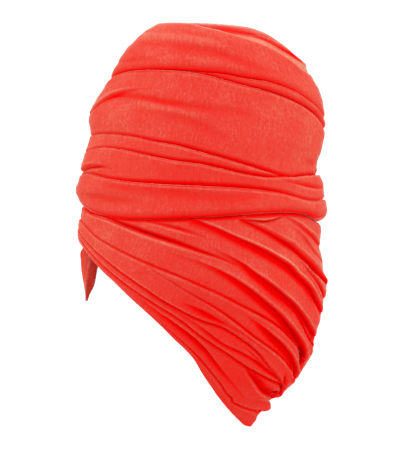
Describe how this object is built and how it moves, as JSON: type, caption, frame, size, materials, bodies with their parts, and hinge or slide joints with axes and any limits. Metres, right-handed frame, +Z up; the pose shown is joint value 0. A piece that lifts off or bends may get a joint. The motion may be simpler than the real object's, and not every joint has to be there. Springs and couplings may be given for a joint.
{
  "type": "head wrap",
  "caption": "Jersey head wrap wound over the crown, with folds across the brow, a pleated drape round the back of the head to the nape, and a loose end at the forehead.",
  "frame": {"origin": "the middle of the head at the level of the brow folds, where the wrap sits on the head", "axes": "+Z up the head, -Y the way the wearer faces, +X the wearer's left"},
  "size_m": [0.1762, 0.2199, 0.355],
  "materials": {
    "crown_cap": "matt coral-red cotton jersey, fine vertical knit",
    "upper_turn": "matt coral-red cotton jersey, fine vertical knit",
    "crown_fold": "matt coral-red cotton jersey, fine vertical knit",
    "main_turn": "matt coral-red cotton jersey, fine vertical knit",
    "brow_fold_upper": "matt coral-red cotton jersey, fine vertical knit",
    "brow_fold_middle": "matt coral-red cotton jersey, fine vertical knit",
    "brow_fold_lower": "matt coral-red cotton jersey, fine vertical knit",
    "nape_drape": "matt coral-red cotton jersey, fine vertical knit",
    "hem_band": "matt coral-red cotton jersey, fine vertical knit",
    "loose_end": "matt coral-red cotton jersey, fine vertical knit"
  },
  "bodies": {
    "root": {"crown_cap": "crown_cap", "upper_turn": "upper_turn", "crown_fold": "crown_fold", "main_turn": "main_turn", "brow_fold_upper": "brow_fold_upper", "brow_fold_middle": "brow_fold_middle", "brow_fold_lower": "brow_fold_lower", "nape_drape": "nape_drape", "hem_band": "hem_band", "loose_end": "loose_end"}
  },
  "joints": []
}
